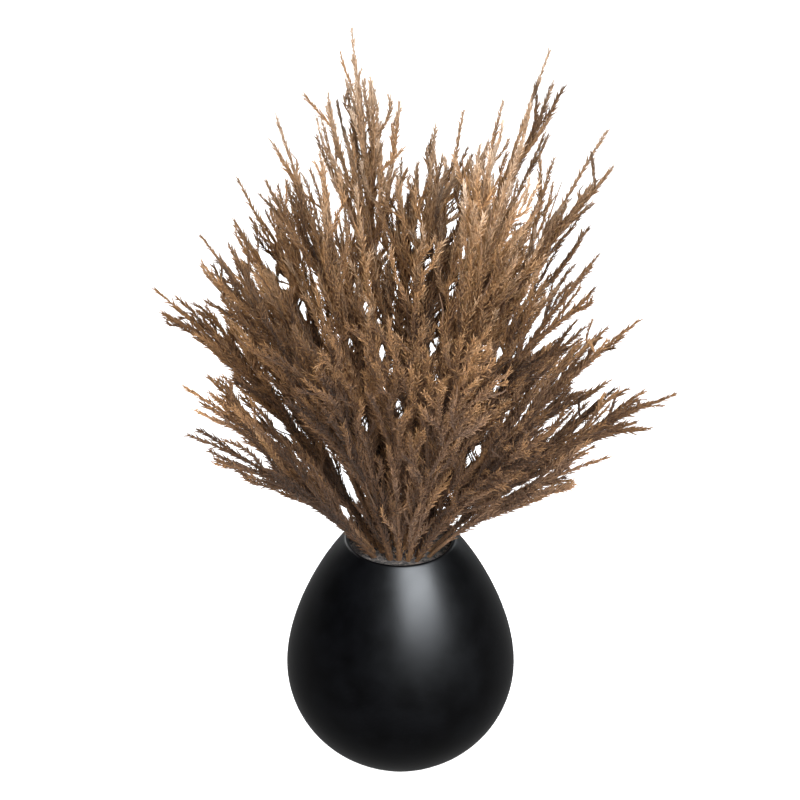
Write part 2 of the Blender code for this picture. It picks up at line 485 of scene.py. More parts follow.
def multiplied(tree, colour, other):
    """Two colours multiplied."""
    made = add_node(tree, "ShaderNodeMix", {"data_type": "RGBA", "blend_type": "MULTIPLY"},
                    {"Factor": 1.0, "A": colour, "B": other})
    return shown(made.outputs, "Result")


def add_relief(tree, shader, height, strength, distance):
    """A fine bump on the surface."""
    bump = add_node(tree, "ShaderNodeBump", inputs={
        "Strength": strength, "Distance": distance, "Height": height})
    tree.links.new(bump.outputs["Normal"], shader.inputs["Normal"])


def grass_material():
    """Dry grass: grey brown below, golden above and beige at the tips, each twig its own tone. The
    golden tops and beige tips are partly painted light.
    """
    made, tree, shader = new_material("Dried grass", (0.3, 0.19, 0.11), 0.8, 0.06)
    shader.inputs["Sheen Weight"].default_value = 0.03
    shader.inputs["Sheen Roughness"].default_value = 0.5
    shader.inputs["Sheen Tint"].default_value = (1.0, 0.97, 0.94, 1.0)
    place = add_node(tree, "ShaderNodeUVMap", {"uv_map": "OFBake"})
    parts = add_node(tree, "ShaderNodeSeparateXYZ", inputs={"Vector": place.outputs["UV"]})
    # Grey brown to beige; the lighter upper end also paints the light on the bunch's top and its
    # glowing tips.
    ripe_and_lit = ramp(tree, parts.outputs["X"], [
        (0.00, (0.068, 0.042, 0.028)), (0.14, (0.125, 0.074, 0.046)),
        (0.30, (0.172, 0.095, 0.050)), (0.50, (0.258, 0.137, 0.056)),
        (0.70, (0.290, 0.180, 0.100)), (1.00, (0.500, 0.398, 0.308))])
    tone = ramp(tree, parts.outputs["Y"], [
        (0.00, (0.30, 0.27, 0.25)), (0.30, (0.64, 0.60, 0.56)),
        (0.65, (1.12, 1.11, 1.09)), (1.00, (1.80, 1.90, 2.02))])
    flecks = noise(tree, 520.0)
    mottle = ramp(tree, flecks, [(0.30, (0.76, 0.74, 0.72)), (0.70, (1.2, 1.2, 1.2))])
    colour = multiplied(tree, multiplied(tree, ripe_and_lit, tone), mottle)
    tree.links.new(colour, shader.inputs["Base Color"])
    rough = add_node(tree, "ShaderNodeMapRange", inputs={
        "Value": flecks, "To Min": 0.70, "To Max": 0.92})
    tree.links.new(rough.outputs["Result"], shader.inputs["Roughness"])
    add_relief(tree, shader, flecks, 0.25, 0.0002)
    return made


def glaze_material():
    """Matte to satin black glaze with a faint mottle and a fine grain."""
    made, tree, shader = new_material("Matte black glaze", (0.0007, 0.0007, 0.001), 0.37, 0.08)
    cloud = noise(tree, 55.0, 4.0)
    colour = ramp(tree, cloud, [
        (0.35, (0.0003, 0.0003, 0.0005)), (0.65, (0.0010, 0.0011, 0.0016))])
    tree.links.new(colour, shader.inputs["Base Color"])
    rough = add_node(tree, "ShaderNodeMapRange", inputs={
        "Value": cloud, "From Min": 0.3, "From Max": 0.7, "To Min": 0.34, "To Max": 0.40})
    tree.links.new(rough.outputs["Result"], shader.inputs["Roughness"])
    add_relief(tree, shader, noise(tree, 900.0), 0.10, 0.0001)
    return made


def grit_material():
    """Grey brown grit, each grain its own shade."""
    made, tree, shader = new_material("Grey brown grit", (0.10, 0.075, 0.055), 0.9, 0.25)
    coords = add_node(tree, "ShaderNodeTexCoord")
    cells = add_node(tree, "ShaderNodeTexVoronoi", inputs={
        "Vector": coords.outputs["Object"], "Scale": 620.0})
    split = add_node(tree, "ShaderNodeSeparateColor", inputs={"Color": cells.outputs["Color"]})
    colour = ramp(tree, split.outputs["Red"], [
        (0.0, (0.010, 0.008, 0.007)), (0.5, (0.045, 0.036, 0.030)), (1.0, (0.150, 0.120, 0.098))])
    tree.links.new(colour, shader.inputs["Base Color"])
    add_relief(tree, shader, noise(tree, 1500.0, 3.0), 0.5, 0.0003)
    return made


def floor_material():
    """Plain pale floor, which the glaze reflects only dimly."""
    made, tree, shader = new_material("Pale floor", (0.42, 0.42, 0.43), 0.9, 0.1)
    shader.inputs["Emission Color"].default_value = (1.0, 1.0, 1.0, 1.0)
    shader.inputs["Emission Strength"].default_value = FLOOR_GLOW
    colour = ramp(tree, noise(tree, 2.0), [
        (0.3, (0.41, 0.41, 0.42)), (0.7, (0.43, 0.43, 0.44))])
    tree.links.new(colour, shader.inputs["Base Color"])
    rays = add_node(tree, "ShaderNodeLightPath")
    dim = add_node(tree, "ShaderNodeEmission", inputs={"Strength": FLOOR_SHEEN})
    both = add_node(tree, "ShaderNodeMixShader", inputs={
        0: rays.outputs["Is Glossy Ray"], 1: shader.outputs["BSDF"], 2: dim.outputs["Emission"]})
    tree.links.new(both.outputs["Shader"], tree.nodes["Material Output"].inputs["Surface"])
    return made


# Pot and filler

def pot_outside(rings_low, rings_high):
    """Outer radius and height, from the neck down to the base, as (radius, height)."""
    neck, belly = Vector((NECK_R, NECK_Z)), Vector((BELLY_R, BELLY_Z))
    neck_handle = neck + NECK_PULL * Vector((math.sin(NECK_SLOPE), -math.cos(NECK_SLOPE)))
    belly_handle = belly + Vector((0, BELLY_PULL))
    points = [cubic(neck, neck_handle, belly_handle, belly, i / rings_high)
              for i in range(rings_high)]
    fullness = 1 - ((BASE_R + BASE_EDGE) / BELLY_R) ** 2
    for i in range(rings_low + 1):
        drop = i / rings_low
        height = BELLY_Z + (BASE_EDGE - BELLY_Z) * drop
        points.append(Vector((BELLY_R * math.sqrt(1 - fullness * drop ** 2), height)))
    return points


def inset(points, depth):
    """The same outline moved inwards by a wall's thickness, square to its direction."""
    moved = []
    for i, point in enumerate(points):
        before, after = points[max(i - 1, 0)], points[min(i + 1, len(points) - 1)]
        run = (after - before).normalized()
        moved.append(point + depth * Vector((run.y, -run.x)))
    return moved


def turning_tree():
    """Turns an outline of points about Z into a closed body, ring by ring."""
    tree, given, result = geometry_tree("Turned body", {
        "Rings": "NodeSocketInt", "Sides": "NodeSocketInt", "Finish": "NodeSocketMaterial"})
    sheet = add_node(tree, "GeometryNodeMeshGrid", inputs={
        "Size X": 1.0, "Size Y": 1.0, "Vertices X": given.outputs["Rings"],
        "Vertices Y": calc(tree, "ADD", given.outputs["Sides"], 1.0)})
    where = add_node(tree, "GeometryNodeInputPosition")
    split = add_node(tree, "ShaderNodeSeparateXYZ", inputs={"Vector": where.outputs[0]})
    share = calc(tree, "ADD", split.outputs["X"], 0.5)
    ring = calc(tree, "MULTIPLY", share, calc(tree, "SUBTRACT", given.outputs["Rings"], 1.0))
    point = add_node(tree, "GeometryNodeSampleIndex",
                     {"data_type": "FLOAT_VECTOR", "domain": "POINT"},
                     {"Geometry": given.outputs["Geometry"], "Value": where.outputs[0],
                      "Index": calc(tree, "ROUND", ring)})
    round_z = add_node(tree, "ShaderNodeVectorRotate", {"rotation_type": "Z_AXIS"}, {
        "Vector": point.outputs["Value"],
        "Angle": calc(tree, "MULTIPLY", split.outputs["Y"], math.tau)})
    placed = add_node(tree, "GeometryNodeSetPosition", inputs={
        "Geometry": sheet.outputs["Mesh"], "Position": round_z.outputs["Vector"]})
    closed = add_node(tree, "GeometryNodeMergeByDistance", inputs={
        "Geometry": placed.outputs["Geometry"], "Distance": MERGE_GAP})
    soft = add_node(tree, "GeometryNodeSetShadeSmooth", inputs={
        "Geometry": closed.outputs["Geometry"]})
    return end_tree(tree, given, result, soft.outputs["Geometry"])


def turned(name, outline, sides, finish, tree):
    """Makes a turned piece of (radius, height) points that run from pole to pole."""
    start = polyline_mesh(name, [[(Vector((radius, 0, height)),) for radius, height in outline]])
    return grown(name, start, tree, {"Rings": len(outline), "Sides": sides, "Finish": finish})


def make_pot(finish, tree):
    """The pot: a turned wall with a rounded lip, a flat base and an open inside."""
    outer = pot_outside(POT_RINGS, POT_RINGS)
    inner = [p for p in inset(pot_outside(INNER_RINGS, INNER_RINGS), WALL) if p.y > FLOOR + WALL]
    middle = (outer[0] + inner[0]) / 2
    lip_start = outer[0] - middle
    lip = [middle + Matrix.Rotation(math.pi * i / LIP_STEPS, 2) @ lip_start
           for i in range(1, LIP_STEPS)]
    angles = [math.pi / 2 * i / FOOT_STEPS for i in range(FOOT_STEPS - 1, -1, -1)]
    foot = [Vector((BASE_R + BASE_EDGE * math.sin(a), BASE_EDGE - BASE_EDGE * math.cos(a)))
            for a in angles]
    base = foot + [Vector((BASE_R * share, 0)) for share in BASE_RINGS]
    well_r = inner[-1].x - WALL / 2
    well = [Vector((well_r * share, FLOOR)) for share in WELL_RINGS]
    outline = well + list(reversed(inner)) + list(reversed(lip)) + outer + base
    return turned("pot_turned", outline, POT_SIDES, finish, tree)


def grains_tree():
    """Scatters round grains over the upward faces of the filler."""
    tree, given, result = geometry_tree("Loose grit", {
        "Grains": "NodeSocketFloat", "Grain radius": "NodeSocketFloat", "Seed": "NodeSocketInt",
        "Finish": "NodeSocketMaterial"})
    normal = add_node(tree, "GeometryNodeInputNormal")
    split = add_node(tree, "ShaderNodeSeparateXYZ", inputs={"Vector": normal.outputs[0]})
    upward = above(tree, split.outputs["Z"], UPWARD)
    spots = add_node(tree, "GeometryNodeDistributePointsOnFaces", inputs={
        "Mesh": given.outputs["Geometry"], "Selection": upward,
        "Density": given.outputs["Grains"], "Seed": given.outputs["Seed"]})
    grain = add_node(tree, "GeometryNodeMeshIcoSphere", inputs={
        "Radius": given.outputs["Grain radius"], "Subdivisions": 1})
    turn = add_node(tree, "FunctionNodeRandomValue", {"data_type": "FLOAT_VECTOR"}, {
        "Min": (0, 0, 0), "Max": (math.tau, math.tau, math.tau), "Seed": 1})
    size = add_node(tree, "FunctionNodeRandomValue", {"data_type": "FLOAT_VECTOR"}, {
        "Min": GRAIN_LEAST, "Max": GRAIN_MOST, "Seed": 2})
    strewn = add_node(tree, "GeometryNodeInstanceOnPoints", inputs={
        "Points": spots.outputs["Points"], "Instance": grain.outputs["Mesh"],
        "Rotation": shown(turn.outputs, "Value"), "Scale": shown(size.outputs, "Value")})
    real = add_node(tree, "GeometryNodeRealizeInstances", inputs={
        "Geometry": strewn.outputs["Instances"]})
    both = add_node(tree, "GeometryNodeJoinGeometry")
    tree.links.new(real.outputs["Geometry"], both.inputs["Geometry"])
    tree.links.new(given.outputs["Geometry"], both.inputs["Geometry"])
    return end_tree(tree, given, result, both.outputs["Geometry"])


def make_filler(finish, tree):
    """The filler: fills the pot up to its level, with a slightly heaped top of loose grains."""
    wall = inset(pot_outside(INNER_RINGS, INNER_RINGS), WALL + FILLER_GAP)
    low = FLOOR + FILLER_GAP
    side = [p for p in wall if low + WALL < p.y < FILLER_TOP - HEAP]
    next_up = [p for p in wall if p.y >= FILLER_TOP - HEAP][-1]
    share = (FILLER_TOP - HEAP - side[0].y) / (next_up.y - side[0].y)
    side.insert(0, side[0].lerp(next_up, share))
    rim = side[0].x
    top = [Vector((rim * i / FILLER_TOP_RINGS, FILLER_TOP - HEAP * (i / FILLER_TOP_RINGS) ** 2))
           for i in range(FILLER_TOP_RINGS)]
    foot = Vector((side[-1].x - 2 * WALL, low))
    outline = [Vector((0, low)), foot] + list(reversed(side)) + list(reversed(top))
    body = turned("filler_body", outline, FILLER_SIDES, finish, tree)
    start = body.data.copy()
    bpy.data.objects.remove(body, do_unlink=True)
    area = math.pi * rim ** 2
    return grown("filler_grit", start, grains_tree(), {
        "Grains": GRAINS / area, "Grain radius": GRAIN_R, "Seed": GRAIN_SEED, "Finish": finish})


# Grass

def lean_vector(lean, heading, reach):
    """How far a line leans in the end, as a flat vector, if its point at that reach does."""
    final = lean / (START_BEND + (1 - START_BEND) * reach / FULL_REACH)
    return Vector((final * math.cos(heading), final * math.sin(heading)))


def direction(lean):
    """The unit direction that leans by the length of a flat vector, towards that vector."""
    amount = lean.length
    flat = lean.normalized() * math.sin(amount) if amount > 0 else Vector((0, 0))
    return Vector((flat.x, flat.y, math.cos(amount)))


def root_of(lean):
    """Where a line with this final lean leaves the filler."""
    out = ROOT_R * (lean.length / MAX_LEAN) ** ROOT_SHARE
    flat = lean.normalized() * out if lean.length > 0 else Vector((0, 0))
    return Vector((flat.x, flat.y, FILLER_TOP))


def fan_point(lean, reach):
    """A point of the fan. Lines with different leans never cross, so plumes stay apart."""
    bend = START_BEND + (1 - START_BEND) * reach / FULL_REACH
    return root_of(lean) + reach * direction(lean * bend)


def cell_reach(own, others, aim, most):
    """How far a side lock may lean away before it comes near the next plume's space."""
    reach = most
    for other in others:
        gap = other - own
        towards = gap.dot(aim)
        if towards > 0:
            reach = min(reach, CELL_SHARE * gap.length_squared / (2 * towards))
    return reach


def smooth(low, high, value):
    """Eases from 0 at low to 1 at high."""
    share = min(1.0, max(0.0, (value - low) / (high - low)))
    return share * share * (3 - 2 * share)


def flat_turn(angle):
    """A flat unit vector."""
    return Vector((math.cos(angle), math.sin(angle)))


def limited(value):
    """The value, kept between 0 and 1."""
    return min(1.0, max(0.0, value))


def ripeness_and_painted_light(point, tip_share, offset):
    """How golden a point is: more so high up in the bunch and towards a tip, less in front. Height
    and tip add painted light as well as colour: lighter where light falls from above, and at the
    tips as if lit through.
    """
    height = smooth(*GOLD_HEIGHTS, point.z)
    front = smooth(0.0, FRONT_DEPTH, -point.y)
    # Painted light: the height part lightens the upper bunch where light falls from above, and the
    # tip part lightens the tips as if lit through; the offset is the twig's own colour.
    return limited(GOLD_LOW + GOLD_HIGH * height + GOLD_FRONT * front
                   + PAINTED_TIP_GLOW * tip_share ** 3 + offset)


def strand(path, fork, end, radii, tone, offset, fluff, bare=False):
    """One core line: points with the core's radius, the spikelets' size, tone, and ripeness with
    painted light.
    """
    steps = max(FEWEST_STEPS, round((end - fork) / STEP))
    line = []
    for i in range(steps + 1):
        share = i / steps
        reach = fork + (end - fork) * share
        place = fan_point(path(share), reach)
        radius = radii[0] + (radii[1] - radii[0]) * share ** TAPER
        size = fluff * (1 - FADE * smooth(FLUFF_FADES, 1.0, share))
        size *= smooth(0.0, FLUFF_BEGINS, share)
        gold = ripeness_and_painted_light(place, share, offset)
        if bare:
            size *= 1 - smooth(BARE_FROM, BARE_TO, share)
            gold *= 1 - BARE_GREYS * smooth(BARE_FROM, BARE_GREY_TO, share)
        line.append((place, radius, size, tone, gold, 0.0))
    return line


def seen(point):
    """Where the viewer sees a point: how far right and up of the point of view."""
    offset = point - VIEW_AIM
    up = Vector((0, math.sin(VIEW_RISE), math.cos(VIEW_RISE)))
    near = -offset.y * math.cos(VIEW_RISE) + offset.z * math.sin(VIEW_RISE)
    return Vector((offset.x, offset.dot(up))) * VIEW_DISTANCE / (VIEW_DISTANCE - near)


def in_gap(point):
    """Whether the viewer sees a point in one of the openings."""
    place = seen(point)
    for right, up, long, wide, turn in GAPS:
        across = (place - Vector((right, up))) @ Matrix.Rotation(math.radians(turn), 2)
        if (across.x / long) ** 2 + (across.y / wide) ** 2 < 1:
            return True
    return False


def parted(point):
    """A point that gives way sideways, as the viewer sees it, to the slits near it."""
    place = seen(point)
    for right, up, long, wide, turn in SLITS:
        offset = place - Vector((right, up))
        if offset.length < long:
            spin = Matrix.Rotation(math.radians(turn), 2)
            across = offset @ spin
            near = abs(across.y) / (SLIT_REACH * wide)
            if near < 1:
                push = wide * (1 - near) * math.cos(math.pi / 2 * across.x / long) ** 2
                shift = spin @ Vector((0, math.copysign(push, across.y)))
                point = point + Vector((shift.x, shift.y * math.sin(VIEW_RISE),
                                        shift.y * math.cos(VIEW_RISE)))
                place += shift
    return point


def trimmed(line, least):
    """A line that ends before the first opening it meets, or nothing if too little is left."""
    kept = next((i for i, point in enumerate(line) if in_gap(point[0])), len(line))
    if kept == len(line):
        return line
    if kept < max(TIP_POINTS, least * len(line)):
        return None
    line = line[:kept]
    for i in range(1, TIP_POINTS):
        place, radius, *rest = line[-i]
        line[-i] = (place, min(radius, TIP_R * i), *rest)
    return line


def clears_mouth(line):
    """Whether a line passes the pot's mouth without touching the lip."""
    return all(place.z > MOUTH_CLEAR_Z or place.xy.length < MOUTH_CLEAR_R for place, *_ in line)


def side_path(parent, fork, end, start, stop, aside, chance):
    """The path of a twig that leaves its parent's path sideways, wanders and curls at its tip."""
    cross = Vector((-aside.y, aside.x)).normalized() * WANDER / stop * chance.uniform(-1, 1)
    curl = flat_turn(chance.uniform(0, math.tau)) * CURL / stop * chance.uniform(0, 1)

    def path(share):
        """The lean of the fan's line that the twig is on, at a share of its length."""
        reach = start + (stop - start) * share
        own = parent(min(1.0, (reach - fork) / (end - fork)))
        side = aside * math.sin(math.pi / 2 * share)
        return own + side + cross * math.sin(math.pi * share) + curl * share ** 3
    return path


def twigs_along(parent, fork, end, last, longest, tone, lean, fullness, chance):
    """Twigs on a lock or stem, turned about it and pointing forward. None starts past last."""
    made = []
    count = max(1, round((end - fork) / TWIG_GAP * fullness))
    heading = chance.uniform(0, math.tau)
    for i in range(count):
        at = LAST_TWIG * (i + chance.uniform(*TWIG_PLACE)) / count
        heading += GOLDEN_ANGLE + chance.uniform(*TWIG_TURN)
        start = fork + (end - fork) * at
        length = (longest + (TWIG_SHORT - longest) * at) * chance.uniform(*TWIG_LENGTH)
        stop = min(start + length, end - END_GAP * chance.uniform(*END_VARIES))
        aim = flat_turn(heading)
        hang = limited(aim.dot(lean) / MAX_LEAN)
        wide = (TWIG_ASIDE / stop * chance.uniform(*TWIG_WIDTH)
                * (length / TWIG_LONG) ** TWIG_NARROWS * (1 - HANGS_LESS * hang))
        path = side_path(parent, fork, end, start, stop, aim * wide, chance)
        bare = chance.random() < BARE_SHARE
        line = strand(path, start, stop, (NEEDLE_R if bare else TWIG_R, TIP_R),
                      limited(tone + chance.uniform(-TWIG_TONE, TWIG_TONE)),
                      chance.uniform(*TWIG_GOLD), chance.uniform(*TWIG_FLUFF), bare)
        line = trimmed(line, LEAST_TWIG)
        if line and start < last and clears_mouth(line):
            made.append(line)
    return made


def stem_strand(lean, length, thick, tone, fluffy_from):
    """The stem, bare and olive at the mouth and dressed from there on."""
    down = direction(lean * START_BEND)
    line = [(root_of(lean) - down * STEM_SUNK, thick, 0.0, tone, STEM_ROOT_GOLD, 1.0)]
    steps = round(length / STEP)
    for i in range(steps + 1):
        share = i / steps
        reach = length * share
        place = fan_point(lean, reach)
        radius = thick + (TIP_R - thick) * share ** STEM_TAPER
        size = STEM_FLUFF * smooth(fluffy_from, fluffy_from + FOOT_EASE, reach)
        size *= 1 - STEM_FADE * smooth(STEM_FADES, 1.0, share)
        gold = max(ripeness_and_painted_light(place, share, 0.0), STEM_FOOT_GOLD * (1 - smooth(0.0, STEM_FOOT, reach)))
        line.append((place, radius, size, tone, gold, 1.0))
    return line


def still_there(line, whole, start, stop):
    """How far a line reaches that may have been trimmed."""
    return start + (stop - start) * (len(line) - 1) / (len(whole) - 1)


def lock_strands(lean, length, others, first_heading, fullness, own_tone, straight, chance):
    """The solids' side locks and the thin ones between them, with their twigs."""
    strands = []
    for i in range(SIDE_LOCKS + round(THIN_LOCKS * fullness)):
        solid = i < SIDE_LOCKS
        rise = i / (SIDE_LOCKS - 1) if solid else chance.uniform(*THIN_RISE)
        if i in HIGH_LOCKS:
            rise = chance.uniform(*HIGH_RISE)
        widen = 1.0 if solid else chance.uniform(*THIN_WIDTH)
        aim = flat_turn(first_heading + (i if solid else i + 0.5) * GOLDEN_ANGLE)
        fork = length * (FIRST_FORK + (LAST_FORK - FIRST_FORK) * rise)
        long = length * (LONG_LOCK + (SHORT_LOCK - LONG_LOCK) * rise)
        end = fork + long * (1.0 if solid else chance.uniform(*THIN_LENGTH))
        spread = cell_reach(lean, others, aim, SPREAD_MOST / end)
        spread *= 1 - HIGH_NARROWS * max(0, rise)
        under = max(0, aim.dot(lean)) / MAX_LEAN
        aside = aim * spread * (1 - UNDER_TURN * under) * widen
        path = side_path(straight, fork, end, fork, end, aside, chance)
        tone = limited(own_tone + chance.uniform(-LOCK_TONE, LOCK_TONE))
        whole = strand(path, fork, end, (LOCK_R, TIP_R), tone, 0.0, LOCK_FLUFF)
        line = trimmed(whole, LEAST_LOCK) or (whole if solid else None)
        if line:
            strands.append(line)
            last = still_there(line, whole, fork, end)
            strands += twigs_along(path, fork + LOCK_FOOT, end, last, TWIG_LONG * LOCK_TWIGS, tone,
                                   lean, fullness, chance)
    return strands


def shoot_strands(lean, length, first_heading, fullness, own_tone, straight, chance):
    """Low shoots that start near the mouth, with their twigs."""
    strands = []
    for i in range(round(LOW_SHOOTS * fullness)):
        start = chance.uniform(*LOW_START)
        stop = start + chance.uniform(*LOW_LENGTH)
        aim = flat_turn(first_heading + 1 + i * GOLDEN_ANGLE)
        hang = limited(aim.dot(lean) / MAX_LEAN)
        aside = aim * LOW_ASIDE / stop * chance.uniform(*LOW_WIDTH) * (1 - HANGS_LESS * hang)
        path = side_path(straight, 0.0, length, start, stop, aside, chance)
        tone = limited(own_tone + chance.uniform(*SHOOT_TONE))
        whole = strand(path, start, stop, (LOCK_R, TIP_R), tone, SHOOT_GOLD, SHOOT_FLUFF)
        line = trimmed(whole, LEAST_TWIG)
        if line and clears_mouth(line):
            strands.append(line)
            last = still_there(line, whole, start, stop)
            strands += twigs_along(path, start + SHOOT_FOOT, stop, last, TWIG_LONG * SHOOT_TWIGS,
                                   tone, lean, fullness, chance)
    return strands


def plume_strands(lean, length, others, first_heading, fullness, chance):
    """All lines of one plume: stem, the solids' locks, thin locks, low shoots and all twigs."""
    own_tone = chance.uniform(*PLUME_TONE)

    def straight(share):
        """The stem's own path, which keeps to one line of the fan."""
        return lean

    on_right = lean.x > 0 and abs(lean.y) < lean.x
    naked = chance.uniform(*(RIGHT_FOOT if on_right else OTHER_FOOT))
    thick = STEM_R * chance.uniform(*STEM_WIDTH)
    strands = [stem_strand(lean, length, thick, own_tone, naked)]
    strands += twigs_along(straight, FIRST_TWIG, length * STEM_TWIGS_END, length, TWIG_LONG,
                           own_tone, lean, fullness, chance)
    strands += lock_strands(lean, length, others, first_heading, fullness, own_tone, straight,
                            chance)
    strands += shoot_strands(lean, length, first_heading, fullness, own_tone, straight, chance)
    return strands


def mark_value(tree, name):
    """A mark that the core lines' points carry."""
    read = add_node(tree, "GeometryNodeInputNamedAttribute", {"data_type": "FLOAT"}, {"Name": name})
    return shown(read.outputs, "Attribute")


def marked(tree, geometry, name, value, kind="FLOAT", domain="POINT"):
    """Geometry with a mark stored on it."""
    made = add_node(tree, "GeometryNodeStoreNamedAttribute",
                    {"data_type": kind, "domain": domain},
                    {"Geometry": geometry, "Name": name, "Value": value})
    return made.outputs["Geometry"]


def draw(tree, given, low, high, number):
    """A random value between two others, one of the tree's own draws by number."""
    made = add_node(tree, "FunctionNodeRandomValue", {"data_type": "FLOAT"}, {
        "Min": low, "Max": high, "Seed": calc(tree, "ADD", given.outputs["Seed"], number)})
    return shown(made.outputs, "Value")


def turn_about(tree, axis, angle):
    """A rotation about an axis."""
    made = add_node(tree, "FunctionNodeAxisAngleToRotation", inputs={"Axis": axis, "Angle": angle})
    return made.outputs["Rotation"]


def turned_by(tree, rotation, further):
    """A rotation turned further about its own axes."""
    made = add_node(tree, "FunctionNodeRotateRotation", {"rotation_space": "LOCAL"}, {
        "Rotation": rotation, "Rotate By": further})
    return made.outputs["Rotation"]


def add_cores(tree, given, curves, joined):
    """Tubes along the lines, with more sides on a stem than on a twig."""
    parts = add_node(tree, "GeometryNodeSeparateGeometry", {"domain": "POINT"}, {
        "Geometry": curves, "Selection": above(tree, mark_value(tree, "stem"), 0.5)})
    for core, sides in [("Selection", "Stem sides"), ("Inverted", "Twig sides")]:
        section = add_node(tree, "GeometryNodeCurvePrimitiveCircle", inputs={
            "Resolution": given.outputs[sides], "Radius": 1.0})
        tube = add_node(tree, "GeometryNodeCurveToMesh", inputs={
            "Curve": parts.outputs[core], "Profile Curve": section.outputs["Curve"],
            "Scale": mark_value(tree, "core"), "Fill Caps": True})
        tree.links.new(tube.outputs["Mesh"], joined.inputs["Geometry"])


def spikelet_shape(tree, given):
    """One spikelet: a three sided point that knows how far along it each corner is."""
    cone = add_node(tree, "GeometryNodeMeshCone", {"fill_type": "NGON"}, {
        "Vertices": 3, "Side Segments": 1, "Radius Top": 0.0,
        "Radius Bottom": given.outputs["Spikelet radius"],
        "Depth": given.outputs["Spikelet length"]})
    where = add_node(tree, "GeometryNodeInputPosition")
    height = add_node(tree, "ShaderNodeSeparateXYZ", inputs={"Vector": where.outputs[0]})
    along = calc(tree, "DIVIDE", height.outputs["Z"], given.outputs["Spikelet length"])
    return marked(tree, cone.outputs["Mesh"], "point_end", along)


def add_spikelets(tree, given, curves, joined):
    """Spikelets on the cores' surface, in a spiral and tilted outwards, each with its tone."""
    spots = add_node(tree, "GeometryNodeCurveToPoints", {"mode": "LENGTH"}, {
        "Curve": curves, "Length": given.outputs["Spikelet gap"]})
    points = spots.outputs["Points"]
    for name, low, high, number in [("tone", -SPIKELET_TONE, SPIKELET_TONE, 6),
                                    ("gold", *SPIKELET_GOLD, 7)]:
        varied = calc(tree, "ADD", mark_value(tree, name), draw(tree, given, low, high, number))
        points = marked(tree, points, name, varied)
    order = add_node(tree, "GeometryNodeInputIndex")
    spiral = calc(tree, "MULTIPLY", order.outputs[0], given.outputs["Turn"])
    about = calc(tree, "ADD", spiral, draw(tree, given, -SPIKELET_TURN, SPIKELET_TURN, 1))
    rolled = turned_by(tree, spots.outputs["Rotation"], turn_about(tree, (0, 0, 1), about))
    leaning = calc(tree, "MULTIPLY", given.outputs["Tilt"], draw(tree, given, *TILT_VARIES, 2))
    tilted = turned_by(tree, rolled, turn_about(tree, (1, 0, 0), leaning))
    outward = add_node(tree, "ShaderNodeCombineXYZ", inputs={
        "Y": calc(tree, "MULTIPLY", mark_value(tree, "core"), -ON_CORE)})
    to_surface = add_node(tree, "FunctionNodeRotateVector", inputs={
        "Vector": outward.outputs["Vector"], "Rotation": rolled})
    on_surface = add_node(tree, "GeometryNodeSetPosition", inputs={
        "Geometry": points, "Offset": to_surface.outputs["Vector"]})
    fluff = mark_value(tree, "fluff")
    spikelets = add_node(tree, "GeometryNodeInstanceOnPoints", inputs={
        "Points": on_surface.outputs["Geometry"], "Selection": above(tree, fluff, SMALLEST),
        "Instance": spikelet_shape(tree, given), "Rotation": tilted,
        "Scale": calc(tree, "MULTIPLY", fluff, draw(tree, given, *SIZE_VARIES, 3))})
    real = add_node(tree, "GeometryNodeRealizeInstances", inputs={
        "Geometry": spikelets.outputs["Instances"]})
    tree.links.new(real.outputs["Geometry"], joined.inputs["Geometry"])


def shade_mapped(tree, given, geometry):
    """Geometry with its shade map: ripeness with painted light across and tone up, each face's
    corners spread.
    """
    def inside(value):
        bounded = calc(tree, "MINIMUM", calc(tree, "MAXIMUM", value, 0.0), 1.0)
        return calc(tree, "ADD", calc(tree, "MULTIPLY", bounded, MAP_WIDTH), MAP_MARGIN)

    # Painted glow at each spikelet's point
    to_point = calc(tree, "MULTIPLY", mark_value(tree, "point_end"), PAINTED_POINT_GLOW)
    across = inside(calc(tree, "ADD", mark_value(tree, "gold"), to_point))
    up = inside(mark_value(tree, "tone"))
    shade = add_node(tree, "ShaderNodeCombineXYZ", inputs={
        "X": calc(tree, "ADD", across, draw(tree, given, -MAP_SPREAD, MAP_SPREAD, 4)),
        "Y": calc(tree, "ADD", up, draw(tree, given, -MAP_SPREAD, MAP_SPREAD, 5))})
    return marked(tree, geometry, "OFBake", shade.outputs["Vector"], "FLOAT2", "CORNER")


def grass_tree():
    """Dresses core lines with forward pointing spikelets, and gives all faces their shade map."""
    tree, given, result = geometry_tree("Spikelets on stems", {
        "Stem sides": "NodeSocketInt", "Twig sides": "NodeSocketInt",
        "Spikelet gap": "NodeSocketFloat", "Spikelet length": "NodeSocketFloat",
        "Spikelet radius": "NodeSocketFloat", "Tilt": "NodeSocketFloat", "Turn": "NodeSocketFloat",
        "Seed": "NodeSocketInt", "Finish": "NodeSocketMaterial"})
    lines = add_node(tree, "GeometryNodeMeshToCurve", inputs={"Mesh": given.outputs["Geometry"]})
    joined = add_node(tree, "GeometryNodeJoinGeometry")
    add_cores(tree, given, lines.outputs["Curve"], joined)
    add_spikelets(tree, given, lines.outputs["Curve"], joined)
    soft = add_node(tree, "GeometryNodeSetShadeSmooth", inputs={
        "Geometry": shade_mapped(tree, given, joined.outputs["Geometry"])})
    return end_tree(tree, given, result, soft.outputs["Geometry"])


